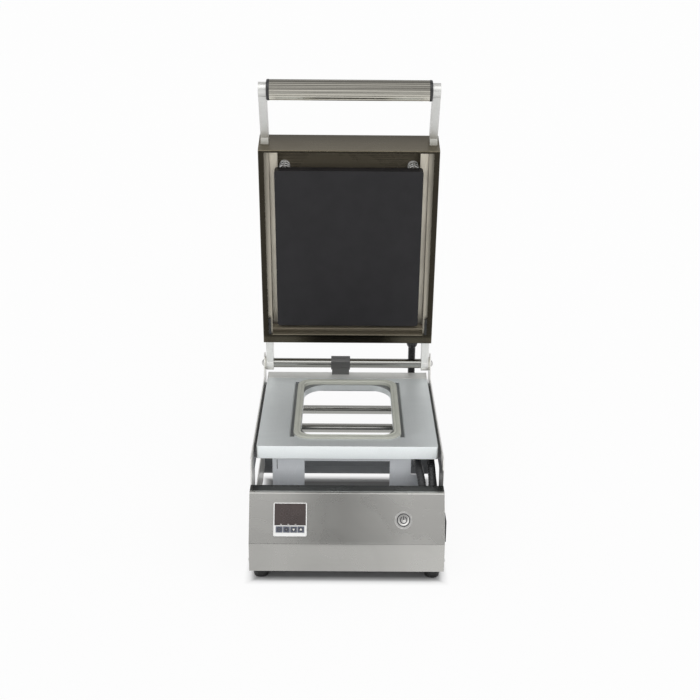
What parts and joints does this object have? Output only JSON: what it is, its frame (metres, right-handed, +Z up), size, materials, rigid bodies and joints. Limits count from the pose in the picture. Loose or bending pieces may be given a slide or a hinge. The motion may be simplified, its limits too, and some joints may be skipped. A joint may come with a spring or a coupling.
{
  "type": "tray sealer",
  "caption": "Hand operated tray sealer: box base, sliding die plate with tray opening, and a hinged lid with a sprung heater plate and long bar handle, parked open.",
  "frame": {"origin": "on the surface it stands on, under the middle of the base's length and width", "axes": "+X to the right seen from the front, +Y to the rear, +Z up; the control panel faces -Y"},
  "size_m": [0.2908, 0.556, 0.6763],
  "materials": {
    "stainless_sheet": "brushed",
    "dark_stainless": "brushed, reflecting dark",
    "galvanised": "plain sheet",
    "polished_steel": "polished",
    "cast_aluminium": "fine satin",
    "arm_aluminium": "brushed",
    "handle_metal": "fluted, satin",
    "bearing_block": "grey, matt",
    "heater_aluminium": "dark",
    "release_coating": "non-stick, matt",
    "black_plastic": "fine satin",
    "rubber": "matt",
    "cream_seal": "satin",
    "display": "dark red, gloss",
    "key_plastic": "satin",
    "nylon": "satin",
    "guide_plastic": "satin",
    "insulation": "fibre board"
  },
  "bodies": {
    "base": {"side_plate_left": "stainless_sheet", "side_plate_right": "stainless_sheet", "front_panel": "stainless_sheet", "control_box_pan": "galvanised", "front_cross_member": "galvanised", "rear_cross_member": "galvanised", "rear_foot_brackets": "stainless_sheet", "die_support": "galvanised", "die_runners": "stainless_sheet", "die_guide_strips": "guide_plastic", "rear_bridge": "stainless_sheet", "centre_bearing_block": "bearing_block", "hinge_bushes": "nylon", "rubber_feet": "rubber", "foot_screws": "polished_steel", "frame_screws": "polished_steel", "controller_bezel": "black_plastic", "controller_case": "black_plastic", "controller_window": "display", "button_body": "polished_steel", "button_light_ring": "black_plastic", "button_nut": "polished_steel", "power_inlet": "black_plastic", "inlet_pins": "polished_steel", "power_relay": "black_plastic", "terminal_block": "nylon", "conduit_bracket": "stainless_sheet", "base_gland": "black_plastic", "cable_run": "black_plastic", "roller_axles": "polished_steel", "conduit": "black_plastic"},
    "lid": {"lid_housing": "dark_stainless", "lid_rear_channel": "dark_stainless", "lid_side_rails": "arm_aluminium", "arm_left": "arm_aluminium", "arm_right": "arm_aluminium", "arm_clamps": "bearing_block", "hinge_shaft": "polished_steel", "pivot_bolts": "polished_steel", "handle_tube": "handle_metal", "handle_caps": "black_plastic", "handle_rod": "polished_steel", "insulation_pad": "insulation", "lid_gland": "black_plastic", "heater_springs": "polished_steel"},
    "heater_head": {"heater_plate": "heater_aluminium", "release_cover": "release_coating", "heater_backing": "galvanised", "heating_elements": "polished_steel", "heater_bolts": "polished_steel"},
    "die": {"die_plate": "cast_aluminium", "die_rim": "cream_seal"},
    "roller_front": {"film_roller_front": "polished_steel"},
    "roller_rear": {"film_roller_rear": "polished_steel"},
    "power_button": {"button_cap": "polished_steel"},
    "key_1": {"controller_key_1": "key_plastic"},
    "key_2": {"controller_key_2": "key_plastic"},
    "key_3": {"controller_key_3": "key_plastic"},
    "key_4": {"controller_key_4": "key_plastic"},
    "fuse_holder": {"fuse_drawer": "black_plastic"}
  },
  "joints": [
    {"name": "lid_hinge", "type": "hinge", "parent": "base", "child": "lid", "pos_m": [0, 0.12, 0.1875], "axis": [1, 0, 0], "range_deg": [0, 80.4], "deforming": ["conduit"]},
    {"name": "heater_float", "type": "slide", "parent": "lid", "child": "heater_head", "axis": [0, 0.986, 0.1668], "range_m": [0, 0.006], "stiffness_N_per_m": 8000, "springref_m": -0.008, "deforming": ["heater_springs"]},
    {"name": "die_slide", "type": "slide", "parent": "base", "child": "die", "axis": [0, -1, 0], "range_m": [0, 0.062]},
    {"name": "roller_front_spin", "type": "hinge", "parent": "base", "child": "roller_front", "pos_m": [0, 0.179, 0.04], "axis": [1, 0, 0], "continuous": true},
    {"name": "roller_rear_spin", "type": "hinge", "parent": "base", "child": "roller_rear", "pos_m": [0, 0.262, 0.04], "axis": [1, 0, 0], "continuous": true},
    {"name": "button_press", "type": "slide", "parent": "base", "child": "power_button", "axis": [0, 0.8805, -0.4741], "range_m": [0, 0.0025], "stiffness_N_per_m": 800, "springref_m": -0.002},
    {"name": "key_1_press", "type": "slide", "parent": "base", "child": "key_1", "axis": [0, 0.8805, -0.4741], "range_m": [0, 0.0006], "stiffness_N_per_m": 1000, "springref_m": -0.0005},
    {"name": "key_2_press", "type": "slide", "parent": "base", "child": "key_2", "axis": [0, 0.8805, -0.4741], "range_m": [0, 0.0006], "stiffness_N_per_m": 1000, "springref_m": -0.0005},
    {"name": "key_3_press", "type": "slide", "parent": "base", "child": "key_3", "axis": [0, 0.8805, -0.4741], "range_m": [0, 0.0006], "stiffness_N_per_m": 1000, "springref_m": -0.0005},
    {"name": "key_4_press", "type": "slide", "parent": "base", "child": "key_4", "axis": [0, 0.8805, -0.4741], "range_m": [0, 0.0006], "stiffness_N_per_m": 1000, "springref_m": -0.0005},
    {"name": "fuse_drawer_pull", "type": "slide", "parent": "base", "child": "fuse_holder", "axis": [1, 0, 0], "range_m": [0, 0.012]}
  ]
}
